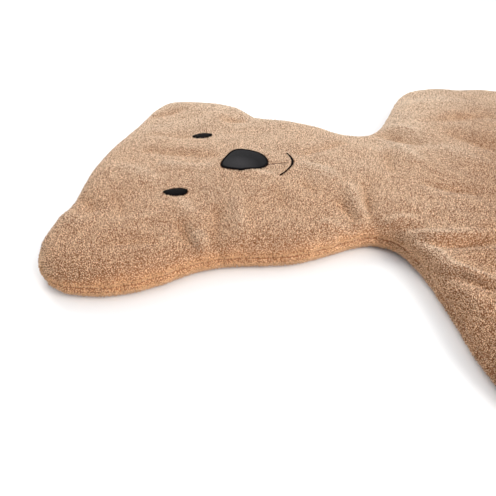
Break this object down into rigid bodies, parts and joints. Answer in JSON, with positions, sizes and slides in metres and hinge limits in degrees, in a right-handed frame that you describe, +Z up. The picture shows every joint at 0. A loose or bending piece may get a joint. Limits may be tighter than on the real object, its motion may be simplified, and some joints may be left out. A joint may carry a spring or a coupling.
{
  "type": "bear shaped kids rug",
  "caption": "Padded fleece play rug cut as a bear lying face up, with a seam round its rounded rim, a cloth nose and stitched eyes and smile.",
  "frame": {"origin": "middle of the rug's footprint, on the floor", "axes": "+Y from the feet towards the crown of the head, +Z up out of the face, +X towards the bear's own left side"},
  "size_m": [1.2333, 1.4984, 0.0669],
  "materials": {
    "fleece": "tan curly teddy fleece with a short looped pile",
    "patch_cloth": "smooth charcoal cloth with a faint sheen",
    "black_thread": "black satin stitch embroidery"
  },
  "bodies": {
    "root": {"pad": "fleece", "nose": "patch_cloth", "nose_edging": "black_thread", "eye_right": "black_thread", "eye_left": "black_thread", "mouth": "black_thread"}
  },
  "joints": []
}
